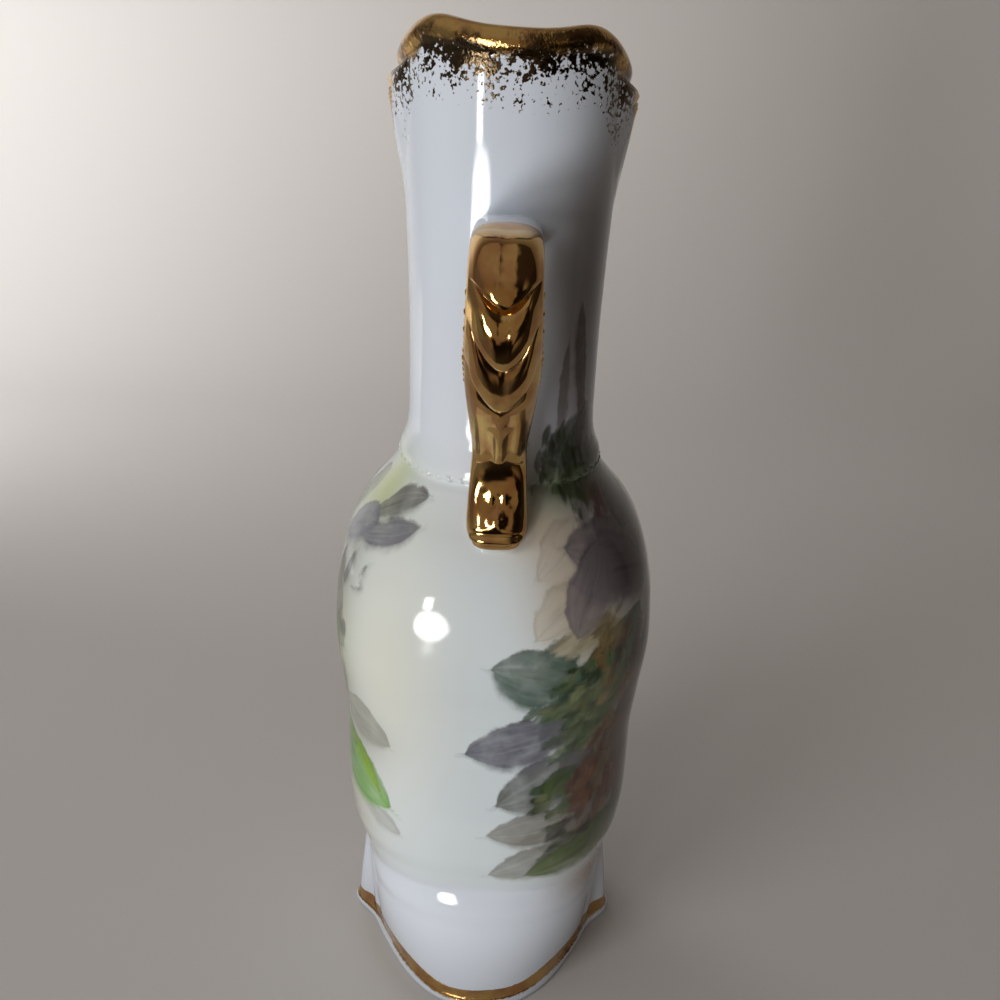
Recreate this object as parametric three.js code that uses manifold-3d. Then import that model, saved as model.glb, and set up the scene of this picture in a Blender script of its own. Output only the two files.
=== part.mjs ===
// A two-handled porcelain bud vase, hollow, on a lobed foot that is open below.
// Millimetres, +Z up, origin at the middle of the underside. The handles stand at +X and -X,
// and the sides at +Y and -Y are the broad faces.
import * as THREE from 'three';
import { LoftGeometry } from 'three/addons/geometries/LoftGeometry.js';
import { mergeVertices } from 'three/addons/utils/BufferGeometryUtils.js';
import Module from 'manifold-3d';

// Heights of the stacked stretches
const footHeight = 37;
const bodyHeight = 117;
const collarHeight = 4;
const neckHeight = 89;
const lipHeight = 6.3;

// Half sizes across X and across Y
const waistHalfX = 34;
const waistHalfY = 35;
const bellyHalfX = 43.5;
const bellyHalfY = 42;
const neckHalfX = 23.5;
const neckHalfY = 23.3;
const lipHalfX = 27;
const lipHalfY = 26.2;

// Base outline: reach of the broad tongues at X, of the narrow tips at Y, and of the hollows between
const tongueReach = 41.2;
const tipReach = 40.3;
const hollowReach = 34;
const baseLipHeight = 2.4;
const baseLipStep = 0.9;
const baseEdge = 0.5;
const fluteDepth = 1;

// Walls
const wall = 3.5;
const footWall = 4;
const floorThickness = 4.5;
const lipThickness = 4.8;
const recessDraft = 1;
const recessRound = 5;
const cavityRound = 9;
const floorRise = 0.5;

// How far the edge of the collar stands out from the neck
const collarStep = 2.5;

// Shells that hang from the lip on the broad faces, the dip of the lip over each, its rise at the
// corners, and how much higher it was fired at -Y than at +Y
const shellLength = 31;
const shellHalfWidth = 14;
const shellRise = 2.3;
const ribDepth = 0.5;
const lipDip = 4.5;
const cornerRise = 1.9;
const lipLean = 1.6;

// Handles: reach from the axis, top, lower end, and the strap with its overlapping leaves
const handleReach = 60.5;
const handleTop = 218.5;
const handleEnd = 144;
const handleWidth = 15.6;
const handleThickness = 8;
const leafStep = 1.8;

// Heights of the joints between the stretches
const collarBase = footHeight + bodyHeight;
const neckBase = collarBase + collarHeight;
const neckTop = neckBase + neckHeight;

// Shares of the form. Stations of the body: rise, swell from the waist or the neck to the belly, squareness
const lowerForm = [
	[0, 0.06, 2.5], [0.06, 0.31, 2.5], [0.13, 0.56, 2.6], [0.22, 0.67, 2.7], [0.37, 0.64, 2.8],
	[0.51, 0.82, 2.8], [0.63, 1, 2.8], [0.72, 0.93, 2.7],
];
const upperForm = [[0.79, 0.9, 2.7], [0.85, 0.78, 2.6], [0.9, 0.6, 2.5], [0.94, 0.39, 2.4], [0.985, 0.17, 2.3]];

// Neck: rise and flare from the neck to the lip
const neckForm = [
	[0.02, 0.42], [0.055, 0.14], [0.12, 0], [0.3, 0], [0.5, 0.14], [0.7, 0.4], [0.85, 0.62], [1, 0.74],
];
const neckSquareness = 2.2;

// Handle, seen from the side along its outer face: reach, rise, share of the width, share of the thickness
const handleForm = [
	[-0.12, 0.955, 0.86, 1.05], [0.17, 0.99, 0.88, 1], [0.5, 1, 0.9, 1], [0.77, 0.985, 0.92, 1],
	[0.93, 0.935, 0.93, 1], [1, 0.855, 0.94, 1], [0.975, 0.757, 0.97, 1.05], [0.88, 0.658, 1, 1.1],
	[0.745, 0.566, 1, 1.1], [0.6, 0.474, 0.95, 1.05], [0.46, 0.382, 0.86, 0.95], [0.36, 0.303, 0.79, 0.9],
	[0.315, 0.23, 0.82, 0.72], [0.32, 0.158, 0.87, 0.8], [0.36, 0.086, 0.9, 1], [0.385, 0.028, 0.83, 1],
	[0.3, -0.03, 0.6, 0.9], [0.1, -0.06, 0.5, 0.8],
];

// Where along the strap each of its three leaves ends, and how far its tip runs ahead of its sides
const leafTips = [0.388, 0.495, 0.6];
const leafLength = 0.105;
const leafPoint = 0.055;

// Foot: how the flare runs from the waist (0) to the base (1), as a shelf, a steep middle and a swept
// edge on the tongues and evenly on the tips
const shelfShare = 0.22;
const shelfReach = 0.08;
const sweepPower = 2.2;

// Ribs of a shell, and how early it stands out furthest
const shellRibs = 7;
const shellPower = 0.42;

// Fineness of the facets, with the rings' points crowded towards the tips and the shells
const around = 54;
const crowding = 0.3;
const strapAround = 14;
const strapSteps = 36;

const { clamp, lerp, smoothstep } = THREE.MathUtils;

const wasm = await Module();
wasm.setup();

// A closed solid lofted through rings and closed by a fan to the middle of its first and last ring
function solid(rings) {
	const first = rings[0];
	const last = rings[rings.length - 1];
	const loft = new LoftGeometry([first.map(() => middle(first)), ...rings, last.map(() => middle(last))]);
	const bare = new THREE.BufferGeometry();
	bare.setAttribute('position', loft.attributes.position);
	bare.setIndex(loft.index);
	const merged = mergeVertices(bare, 1e-4);
	const corners = merged.index.array;
	const triVerts = [];
	for (let i = 0; i < corners.length; i += 3) {
		const [a, b, c] = corners.slice(i, i + 3);
		if (a !== b && b !== c && c !== a) triVerts.push(a, b, c);
	}
	return new wasm.Manifold(new wasm.Mesh({
		numProp: 3,
		vertProperties: merged.attributes.position.array,
		triVerts: new Uint32Array(triVerts),
	}));
}

function middle(ring) {
	const sum = ring.reduce((total, corner) => total.add(corner), new THREE.Vector3());
	return sum.divideScalar(ring.length);
}

function geometryOf(shape) {
	const mesh = shape.getMesh();
	const geometry = new THREE.BufferGeometry();
	geometry.setAttribute('position', new THREE.BufferAttribute(mesh.vertProperties, 3));
	geometry.setIndex(new THREE.BufferAttribute(mesh.triVerts, 1));
	geometry.computeVertexNormals();
	return geometry;
}

// Angle away from the nearer broad face, 0 at +Y and at -Y
const fromFace = (angle) => Math.acos(clamp(Math.abs(Math.sin(angle)), 0, 1));

// Angles of the points of a ring, anticlockwise seen from above
const ringAngles = Array.from({ length: around }, (_, i) => {
	const turn = (2 * Math.PI * i) / around;
	return turn + crowding * Math.sin(2 * turn);
});

// Radius of a rounded square at an angle, grown by an offset
function squareRadius(angle, { halfX, halfY, squareness }, offset = 0) {
	const x = Math.abs(Math.cos(angle)) / (halfX + offset);
	const y = Math.abs(Math.sin(angle)) / (halfY + offset);
	return (x ** squareness + y ** squareness) ** (-1 / squareness);
}

// Radius of the base: raised cosines make the tongues, and a narrow power of them the tips
function baseRadius(angle) {
	const away = fromFace(angle);
	const tongue = 0.5 + 0.5 * Math.cos(3 * (Math.PI / 2 - away));
	const tip = (0.5 + 0.5 * Math.cos(3 * away)) ** 12;
	return away > Math.PI / 6
		? lerp(hollowReach, tongueReach, tongue)
		: lerp(hollowReach, tipReach, tip);
}

// Shell-like flutes on the foot, five across each tip, fading into the hollows
function flute(angle) {
	const spread = Math.PI / 6;
	const away = fromFace(angle);
	return away > spread ? 0 : -Math.cos((5 * Math.PI * away) / spread) * (1 - away / spread);
}

// The lip dips over each broad face, rises at its corners and leans a little, and what is near it follows
function lift(angle, z) {
	const bow = Math.exp(-((fromFace(angle) / 0.55) ** 2));
	const corner = Math.exp(-(((fromFace(angle) - 0.84) / 0.32) ** 2));
	const lean = (-lipLean * Math.sin(angle)) / 2;
	return (lean - lipDip * bow + cornerRise * corner) * smoothstep(z, neckTop - 2 * lipHeight, neckTop);
}

// Rise of a hanging shell with ribs that fan out from its root under the lip
function shell(angle, z, radius) {
	const down = neckTop - z;
	const side = fromFace(angle) * radius;
	if (side > shellHalfWidth || down < 0) return 0;
	const reach = Math.hypot(side / shellHalfWidth, down / shellLength);
	if (reach > 1) return 0;
	const rib = ribDepth * Math.cos(shellRibs * Math.atan2(side / shellHalfWidth, down / shellLength));
	return (shellRise + rib) * Math.sin(Math.PI * reach ** shellPower);
}

function point(angle, radius, z) {
	return new THREE.Vector3(radius * Math.cos(angle), radius * Math.sin(angle), z);
}

// One ring of the wall at a station, with the shells and the dip of the lip where they reach
function ring(station, offset = 0, carved = false) {
	return ringAngles.map((angle) => {
		const radius = squareRadius(angle, station, offset);
		const rise = carved ? shell(angle, station.z, radius) : 0;
		return point(angle, radius + rise, station.z + lift(angle, station.z));
	});
}

// Stations of the body and the neck, lowest first
function bodyStations() {
	const lower = lowerForm.map(([rise, swell, squareness]) => ({
		halfX: lerp(waistHalfX, bellyHalfX, swell),
		halfY: lerp(waistHalfY, bellyHalfY, swell),
		z: footHeight + rise * bodyHeight,
		squareness,
	}));
	const upper = upperForm.map(([rise, swell, squareness]) => ({
		halfX: lerp(neckHalfX, bellyHalfX, swell),
		halfY: lerp(neckHalfY, bellyHalfY, swell),
		z: footHeight + rise * bodyHeight,
		squareness,
	}));
	return [...lower, ...upper];
}

function collarStations() {
	const form = [[0.1, 0.72], [0.35, 1], [0.75, 0.92]];
	return form.map(([rise, out]) => ({
		halfX: neckHalfX + out * collarStep,
		halfY: neckHalfY + out * collarStep,
		z: collarBase + rise * collarHeight,
		squareness: neckSquareness,
	}));
}

function neckStations() {
	return neckForm.map(([rise, flare]) => ({
		halfX: lerp(neckHalfX, lipHalfX, flare),
		halfY: lerp(neckHalfY, lipHalfY, flare),
		z: neckBase + rise * neckHeight,
		squareness: neckSquareness,
	}));
}

// Stations spaced evenly along a smooth curve through the given ones
function spaced(stations, count) {
	const curve = new THREE.CatmullRomCurve3(
		stations.map(({ halfX, halfY, z }) => new THREE.Vector3(halfX, halfY, z)));
	const lowest = stations[0];
	const highest = stations[stations.length - 1];
	return curve.getSpacedPoints(count).map(({ x, y, z }) => ({
		halfX: x,
		halfY: y,
		z,
		squareness: lerp(lowest.squareness, highest.squareness,
			smoothstep(z, lerp(lowest.z, highest.z, 0.5), highest.z)),
	}));
}

const body = spaced(bodyStations(), 18);
const collar = collarStations();
const neck = spaced(neckStations(), 11);
const waist = body[0];

// Rings of the lip, from the outside over the top to the inside: inset from the widest, rise
function lipRings() {
	const form = [[0.12, 0.25], [0, 0.5], [0.12, 0.78], [0.4, 1], [0.75, 0.93], [1, 0.6]];
	return form.map(([inset, rise]) => ring({
		halfX: lipHalfX - inset * lipThickness,
		halfY: lipHalfY - inset * lipThickness,
		z: neckTop + rise * lipHeight,
		squareness: neckSquareness,
	}));
}

// Share of the foot's flare at a share of the way down from the waist to the base
function footFlare(angle, down) {
	const shelf = shelfShare * (1 - Math.exp(-down / shelfReach));
	const tongue = shelf + (1 - shelfShare) * down ** sweepPower;
	return lerp(down, tongue, smoothstep(fromFace(angle), Math.PI / 10, Math.PI / 5));
}

// Rings of the foot from the base up to the waist
function footRings() {
	const rings = [
		ringAngles.map((angle) => point(angle, baseRadius(angle) - baseEdge, 0)),
		ringAngles.map((angle) => point(angle, baseRadius(angle), baseEdge)),
		ringAngles.map((angle) => point(angle, baseRadius(angle), baseLipHeight)),
	];
	for (const share of [0.02, 0.14, 0.3, 0.5, 0.72, 0.87, 0.95]) {
		const z = lerp(baseLipHeight + baseEdge, footHeight, share);
		rings.push(ringAngles.map((angle) => {
			const base = baseRadius(angle) - baseLipStep;
			const fade = Math.sin(Math.PI * Math.sqrt(share));
			const plain = lerp(squareRadius(angle, waist), base, footFlare(angle, 1 - share));
			return point(angle, plain + fluteDepth * fade * flute(angle), z);
		}));
	}
	return rings;
}

// Rings of the open recess under the foot, from its ceiling down to the base
function recessRings() {
	const ceiling = footHeight - floorThickness;
	return [1, 0.85, 0.4, 0].map((share) => ringAngles.map((angle) => {
		const base = baseRadius(angle) - baseLipStep - footWall;
		const above = squareRadius(angle, waist, -footWall - recessDraft);
		const round = share === 1 ? recessRound : 0;
		return point(angle, lerp(above, base, (1 - share) ** sweepPower) - round, share * ceiling);
	}));
}

// Rings of the cavity from the mouth down to the floor
function cavityRings() {
	const stations = [...neck.slice(0, -1), ...body.slice(2)].sort((a, b) => b.z - a.z);
	const rings = stations.filter((_, i) => i % 2 === 0).map((station) => ring(station, -wall));
	const edge = { ...waist, z: footHeight + floorRise };
	const floor = { ...waist, z: footHeight };
	return [...rings, ring(edge, -wall - cavityRound / 4), ring(floor, -wall - cavityRound)];
}

// Foot, body, collar, neck, lip and cavity as one closed surface
function vessel() {
	const rings = [
		...recessRings(),
		...footRings(),
		...body.map((station) => ring(station)),
		...collar.map((station) => ring(station)),
		...neck.map((station) => ring(station, 0, true)),
		...lipRings(),
		...cavityRings(),
	];
	return solid(rings);
}

// The space inside the middle of the wall, which trims whatever is joined on from outside
function core() {
	const rings = [...body, ...neck].map((station) => ring(station, -wall / 2));
	return solid(rings);
}

// Rise of the strap's face where the leaves overlap, each thickest just before its tip
function leafRise(along, across) {
	const place = along - leafPoint * (1 - Math.abs(across));
	for (const tip of leafTips) {
		const share = (place - tip + leafPoint + leafLength) / leafLength;
		if (share > 0 && share < 1) return leafStep * (share ** 1.5 - 0.3);
	}
	return 0;
}

// One handle at +X: a strap swept along its side view and trimmed inside the wall
function handle() {
	const place = ([reach, rise]) => new THREE.Vector3(
		lerp(neckHalfX, handleReach, reach), 0, lerp(handleEnd, handleTop, rise));
	const path = new THREE.CatmullRomCurve3(handleForm.map(place));
	const sizes = new THREE.CatmullRomCurve3(
		handleForm.map(([, , width, thickness]) => new THREE.Vector3(width, thickness, 0)));
	const rings = [];
	for (let i = 0; i <= strapSteps; i++) {
		const along = path.getUtoTmapping(i / strapSteps);
		const face = path.getPoint(along);
		const forward = path.getTangent(along);
		const outward = new THREE.Vector3(-forward.z, 0, forward.x);
		const size = sizes.getPoint(along);
		const halfThick = (size.y * handleThickness) / 2;
		rings.push(Array.from({ length: strapAround }, (_, j) => {
			const angle = (-2 * Math.PI * j) / strapAround;
			const radius = squareRadius(angle, { halfX: 1, halfY: 1, squareness: 3 });
			const out = radius * Math.cos(angle);
			const side = radius * Math.sin(angle);
			const rise = out > 0.3 ? leafRise(i / strapSteps, side) : 0;
			const centre = face.clone().addScaledVector(outward, -halfThick);
			centre.addScaledVector(outward, out * halfThick + rise);
			centre.y += (side * size.x * handleWidth) / 2;
			return centre;
		}));
	}
	return solid(rings);
}

const strap = handle().subtract(core());
const vase = vessel().add(strap).add(strap.rotate([0, 0, 180]));

const porcelain = new THREE.MeshStandardMaterial({ color: 0xe9e7df, roughness: 0.12, metalness: 0 });
const vaseMesh = new THREE.Mesh(geometryOf(vase), porcelain);
vaseMesh.name = 'vase';

const twoHandledVase = new THREE.Group();
twoHandledVase.add(vaseMesh);

export default twoHandledVase;
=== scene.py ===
import math

import bpy
import numpy as np
from mathutils import Matrix, Vector


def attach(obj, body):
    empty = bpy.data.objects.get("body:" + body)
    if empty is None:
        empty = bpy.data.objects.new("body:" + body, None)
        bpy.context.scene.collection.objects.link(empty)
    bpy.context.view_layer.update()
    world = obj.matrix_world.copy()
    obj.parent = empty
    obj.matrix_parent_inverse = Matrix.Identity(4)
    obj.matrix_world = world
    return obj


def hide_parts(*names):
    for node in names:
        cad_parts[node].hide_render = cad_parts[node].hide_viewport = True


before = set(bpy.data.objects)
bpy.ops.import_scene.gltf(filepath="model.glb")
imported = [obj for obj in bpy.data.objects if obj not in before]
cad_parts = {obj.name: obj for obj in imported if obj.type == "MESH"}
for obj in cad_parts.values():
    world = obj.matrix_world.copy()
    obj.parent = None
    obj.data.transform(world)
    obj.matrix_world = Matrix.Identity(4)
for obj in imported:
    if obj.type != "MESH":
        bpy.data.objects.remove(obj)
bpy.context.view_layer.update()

mm = 0.001

# The vase is one fired piece. Its form is worked out in millimetres and written to the mesh in metres.
# Angles run anticlockwise from +X, where one handle stands. +Y and -Y are the broad faces.
form = {
    "footHeight": 37.0, "bodyHeight": 117.0, "collarHeight": 4.0, "neckHeight": 89.0, "lipHeight": 6.3,
    "waistHalf": (34.0, 35.0), "bellyHalf": (43.5, 42.0), "neckHalf": (23.5, 23.3), "lipHalf": (27.0, 26.2),
    "tongueReach": 41.2, "tipReach": 40.3, "hollowReach": 34.0,
    "baseLipHeight": 2.4, "baseLipStep": 0.9, "fluteDepth": 1.0,
    "wall": 3.5, "footWall": 4.0, "floorThickness": 4.5, "lipThickness": 4.8,
    "collarStep": 2.5,
    "shellLength": 31.0, "shellHalfWidth": 14.0, "shellRise": 2.3, "shellRibs": 9, "ribDepth": 0.55,
    "shellPower": 0.42,
    "lipDip": 4.5, "dipSpread": .55, "cornerRise": 1.9, "cornerAt": .84, "cornerSpread": .32, "lipLean": 1.6,
    "footSwell": .8, "swellHalf": 6.5, "shelfShare": 0.22, "shelfReach": 0.08, "sweepPower": 2.2,
    "columns": 224,
}
collarBase = form["footHeight"] + form["bodyHeight"]
neckBase = collarBase + form["collarHeight"]
neckTop = neckBase + form["neckHeight"]
rimHeight = neckTop + form["lipHeight"]

# Stations: share of the height, share of the swell, squareness
lowerForm = [(0, .06, 2.5), (.06, .31, 2.5), (.13, .56, 2.6), (.22, .67, 2.7), (.37, .64, 2.8),
             (.51, .82, 2.8), (.63, 1, 2.8), (.72, .93, 2.7)]
upperForm = [(.79, .9, 2.7), (.85, .78, 2.6), (.9, .6, 2.5), (.94, .39, 2.4), (.985, .17, 2.3)]
collarForm = [(.1, .72), (.35, 1), (.75, .92)]
neckForm = [(.02, .42), (.055, .14), (.12, 0), (.3, 0), (.5, .14), (.7, .4), (.85, .62), (1, .74)]
neckSquareness = 2.2


def mix(low, high, share):
    return low + (high - low) * share


def ramp(x, low, high):  # smooth step from 0 to 1
    t = np.clip((x - low) / (high - low), 0, 1)
    return t * t * (3 - 2 * t)


def easedCurve(stations, heights):  # monotone cubic through (height, value) stations
    x, y = np.array(stations, float).T
    h, d = np.diff(x), np.diff(y) / np.diff(x)
    slope = np.zeros_like(x)
    slope[0], slope[-1] = d[0], d[-1]
    same = d[:-1] * d[1:] > 0
    w1, w2 = 2 * h[1:] + h[:-1], h[1:] + 2 * h[:-1]
    safe = np.where(same, d[:-1], 1), np.where(same, d[1:], 1)
    slope[1:-1] = np.where(same, (w1 + w2) / (w1 / safe[0] + w2 / safe[1]), 0)
    i = np.clip(np.searchsorted(x, heights) - 1, 0, len(h) - 1)
    t = (np.asarray(heights, float) - x[i]) / h[i]
    return ((2 * t**3 - 3 * t**2 + 1) * y[i] + (t**3 - 2 * t**2 + t) * h[i] * slope[i]
            + (3 * t**2 - 2 * t**3) * y[i + 1] + (t**3 - t**2) * h[i] * slope[i + 1])


def wallStations():  # height, half size in X, half size in Y, squareness, from the waist to the neck's top
    rows = []
    for rise, swell, square in lowerForm:
        rows.append((form["footHeight"] + rise * form["bodyHeight"], "waistHalf", "bellyHalf", swell, square))
    for rise, swell, square in upperForm:
        rows.append((form["footHeight"] + rise * form["bodyHeight"], "neckHalf", "bellyHalf", swell, square))
    for rise, flare in neckForm:
        rows.append((neckBase + rise * form["neckHeight"], "neckHalf", "lipHalf", flare, neckSquareness))
    table = [(z, mix(form[a][0], form[b][0], s), mix(form[a][1], form[b][1], s), q) for z, a, b, s, q in rows]
    collar = [(collarBase + rise * form["collarHeight"], form["neckHalf"][0] + out * form["collarStep"],
               form["neckHalf"][1] + out * form["collarStep"], neckSquareness) for rise, out in collarForm]
    return sorted(table + collar)


stations = wallStations()


def wallAt(z):  # half sizes and squareness of the outer wall at heights
    return [easedCurve([(row[0], row[k]) for row in stations], z) for k in (1, 2, 3)]


def squareRadius(angle, halfX, halfY, squareness):
    return ((np.abs(np.cos(angle)) / halfX) ** squareness
            + (np.abs(np.sin(angle)) / halfY) ** squareness) ** (-1 / squareness)


def fromFace(angle):  # angle away from the nearer broad face
    return np.arccos(np.clip(np.abs(np.sin(angle)), 0, 1))


def baseRadius(angle):  # outline of the base: broad tongues under the handles, narrow tips at the faces
    away = fromFace(angle)
    tongue = .5 + .5 * np.cos(3 * (math.pi / 2 - away))
    tip = (.5 + .5 * np.cos(3 * away)) ** 12
    return np.where(away > math.pi / 6, mix(form["hollowReach"], form["tongueReach"], tongue),
                    mix(form["hollowReach"], form["tipReach"], tip))


def flute(angle):  # five shell-like flutes across each tip of the foot
    spread = math.pi / 6
    away = fromFace(angle)
    return np.where(away > spread, 0, -np.cos(5 * math.pi * away / spread) * (1 - away / spread))


def lift(angle, z):  # the lip dips over the broad faces and leans a little
    bow = np.exp(-(fromFace(angle) / form["dipSpread"]) ** 2)
    corner = np.exp(-((fromFace(angle) - form["cornerAt"]) / form["cornerSpread"]) ** 2)
    lean = -form["lipLean"] * np.sin(angle) / 2
    near = ramp(z, neckTop - 2 * form["lipHeight"], neckTop)
    return (lean - form["lipDip"] * bow + form["cornerRise"] * corner) * near


def shellShare(angle, z, radius):  # 0 at the root of the hanging shell, 1 at its edge, and the fan's angle
    side = fromFace(angle) * radius / form["shellHalfWidth"]
    down = (neckTop - z) / form["shellLength"]
    return np.where(down < 0, 2, np.hypot(side, down)), np.arctan2(side, np.maximum(down, 1e-6))


def shell(angle, z, radius):
    reach, fan = shellShare(angle, z, radius)
    rib = form["ribDepth"] * np.cos(form["shellRibs"] * fan)
    arch = np.sin(math.pi * np.clip(reach, 0, 1) ** form["shellPower"])
    return np.where(reach < 1, (form["shellRise"] + rib) * arch, 0)


def outerRadius(angle, z):
    halfX, halfY, squareness = wallAt(z)
    radius = squareRadius(angle, halfX, halfY, squareness)
    return radius + shell(angle, z, radius)


def footFlare(angle, down):  # 0 at the waist, 1 at the base; a tongue has a shelf and a swept edge
    shelf = form["shelfShare"] * (1 - np.exp(-down / form["shelfReach"]))
    tongue = shelf + (1 - form["shelfShare"]) * down ** form["sweepPower"]
    return mix(down, tongue, ramp(fromFace(angle), math.pi / 10, math.pi / 5))


def footRadius(angle, z):
    share = (form["footHeight"] - z) / (form["footHeight"] - form["baseLipHeight"])
    waist = squareRadius(angle, *wallAt(form["footHeight"]))
    fade = np.sin(math.pi * np.sqrt(np.clip(1 - share, 0, 1)))
    bump = hill(z, form["footHeight"] - form["swellHalf"], form["swellHalf"])
    swell = form["footSwell"] * bump * ramp(fromFace(angle), math.pi / 10, math.pi / 4)
    edge = mix(waist, baseRadius(angle) - form["baseLipStep"], footFlare(angle, share))
    return edge + form["fluteDepth"] * fade * flute(angle) + swell


turn = np.arange(form["columns"]) * 2 * math.pi / form["columns"]


def ringAt(radius, z):
    return np.stack([radius * np.cos(turn), radius * np.sin(turn), np.broadcast_to(z, turn.shape)], 1)


def vesselRings():  # from the ceiling of the recess, out and up over the lip, and down to the floor
    f = form
    rings = []
    ceiling = f["footHeight"] - f["floorThickness"]
    waist = wallAt(f["footHeight"])
    waistInside = squareRadius(turn, waist[0] - f["footWall"] - 1, waist[1] - f["footWall"] - 1, waist[2])
    baseInside = baseRadius(turn) - f["baseLipStep"] - f["footWall"]
    for share, inset in ((1, 6), (.97, 1), (.85, 0), (.6, 0), (.3, 0), (.06, 0)):
        inside = mix(waistInside, baseInside, (1 - share) ** f["sweepPower"])
        rings.append(ringAt(inside - inset, share * ceiling))
    rings.append(ringAt(baseInside + .4, 0))
    for bend in np.linspace(-90, 80, 9):
        bend = math.radians(bend)
        rings.append(ringAt(baseRadius(turn) - f["baseLipStep"] * (1 - math.cos(bend)),
                            f["baseLipHeight"] / 2 * (1 + math.sin(bend))))
    for z in np.linspace(f["baseLipHeight"] + .5, f["footHeight"], 44)[:-1]:
        rings.append(ringAt(footRadius(turn, z), z))
    heights = np.concatenate([np.linspace(f["footHeight"], collarBase - 3, 112)[:-1],
                              np.linspace(collarBase - 3, neckBase + 2, 22)[:-1],
                              np.linspace(neckBase + 2, neckTop, 76)])
    for z in heights:
        rings.append(ringAt(outerRadius(turn, z), z + lift(turn, z)))
    lip = [(.2, .1), (.12, .22), (.04, .35), (0, .5), (.03, .64), (.11, .78), (.24, .9), (.4, .975), (.56, 1),
           (.72, .96), (.86, .85), (.96, .68), (1, .45)]
    for inset, rise in lip:
        half = [size - inset * f["lipThickness"] for size in f["lipHalf"]]
        z = neckTop + rise * f["lipHeight"]
        rings.append(ringAt(squareRadius(turn, *half, neckSquareness), z + lift(turn, z)))
    for z in np.linspace(neckTop, f["footHeight"] + 4, 22):
        halfX, halfY, squareness = wallAt(z)
        radius = squareRadius(turn, halfX - f["wall"], halfY - f["wall"], squareness)
        rings.append(ringAt(radius, z + lift(turn, z)))
    for inset, rise in ((5.5, .5), (9, 0)):
        radius = squareRadius(turn, waist[0] - inset, waist[1] - inset, waist[2])
        rings.append(ringAt(radius, f["footHeight"] + rise))
    return rings


def meshFromRings(name, rings):  # rings joined into a skin, closed by a fan at each end
    count = len(rings[0])
    points = np.concatenate([np.mean(rings[0], 0)[None], *rings, np.mean(rings[-1], 0)[None]]) * mm
    around = np.arange(count)
    after = np.roll(around, -1)
    faces = []
    for row in range(len(rings) - 1):
        low, high = 1 + row * count, 1 + (row + 1) * count
        faces += np.stack([low + around, low + after, high + after, high + around], 1).tolist()
    last = len(points) - 1
    faces += np.stack([np.zeros(count, int), 1 + after, 1 + around], 1).tolist()
    top = 1 + (len(rings) - 1) * count
    faces += np.stack([np.full(count, last), top + around, top + after], 1).tolist()
    mesh = bpy.data.meshes.new(name)
    mesh.from_pydata(points.tolist(), [], faces)
    mesh.validate()
    piece = bpy.data.objects.new(name, mesh)
    bpy.context.scene.collection.objects.link(piece)
    return piece


def wallCore():  # solid inside the middle of the wall, which trims the handles' roots
    rings = []
    for z in np.linspace(form["footHeight"] + 4, neckTop, 40):
        halfX, halfY, squareness = wallAt(z)
        radius = squareRadius(turn, halfX - form["wall"] / 2, halfY - form["wall"] / 2, squareness)
        rings.append(ringAt(radius, z))
    return meshFromRings("core", rings)


# Each handle is a strap led along its side view, with overlapping leaves, a rib, a knee and a rolled end
handle = {
    "reach": 60.5, "top": 218.5, "end": 144.0, "width": 15.6, "thickness": 8.0,
    "rows": 190, "around": 44,
    "leaves": [  # tip, root, rise at the tip, crown
        (.575, .478, 4.0, .9), (.478, .384, 3.6, 1.6), (.384, .25, 2.8, .4)],
    "leafHalf": .84, "edgeBend": 1.6, "ribRise": 1.7, "ledgeStep": 1.1, "dropRise": .8, "rollRise": .8,
    "creaseDepth": .35, "grooveDepth": .7,
    # how far an edge's middle hangs below its sides, at shares of the length
    "edgeDepth": [(.2, 0), (.384, .038), (.478, .062), (.575, .075),
                  (.64, .015), (.7, -.012), (.76, -.012), (.8, 0)],
}
# Outer face from the neck's wall to the rolled end: share of the reach, share of the rise, width, thickness
handleForm = [(-.12, .955, .86, 1.05), (.17, .99, .88, 1), (.5, 1, .9, 1), (.77, .985, .92, 1),
              (.93, .935, .93, 1), (1, .855, .94, 1), (.975, .757, .97, 1.05), (.88, .658, 1, 1.1),
              (.745, .566, 1, 1.1), (.6, .474, .95, 1.05), (.46, .382, .86, .95), (.36, .303, .79, .9),
              (.315, .23, .82, .72), (.32, .158, .87, .8), (.36, .086, .9, 1), (.385, .028, .83, 1),
              (.3, -.03, .6, .9), (.1, -.06, .5, .8)]


def curveThrough(points, count):  # centripetal curve through points, evenly spaced by the first two values
    p = np.array(points, float)
    p = np.vstack([2 * p[0] - p[1], p, 2 * p[-1] - p[-2]])
    k = np.concatenate([[0], np.cumsum(np.linalg.norm(np.diff(p[:, :2], axis=0), axis=1) ** .5)])
    rows = []
    for i in range(1, len(p) - 2):
        t = np.linspace(k[i], k[i + 1], 30, endpoint=i == len(p) - 3)[:, None]
        a = [((k[j + 1] - t) * p[j] + (t - k[j]) * p[j + 1]) / (k[j + 1] - k[j]) for j in (i - 1, i, i + 1)]
        b = [((k[j + 2] - t) * a[j - i + 1] + (t - k[j]) * a[j - i + 2]) / (k[j + 2] - k[j])
             for j in (i - 1, i)]
        rows.append(((k[i + 1] - t) * b[0] + (t - k[i]) * b[1]) / (k[i + 1] - k[i]))
    rows = np.vstack(rows)
    run = np.concatenate([[0], np.cumsum(np.linalg.norm(np.diff(rows[:, :2], axis=0), axis=1))])
    even = np.linspace(0, run[-1], count)
    return np.stack([np.interp(even, run, rows[:, k]) for k in range(rows.shape[1])], 1), run[-1]


def hill(x, middle, half):  # round bump of height 1
    return np.cos(np.clip((x - middle) / half, -1, 1) * math.pi / 2) ** 2


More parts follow.
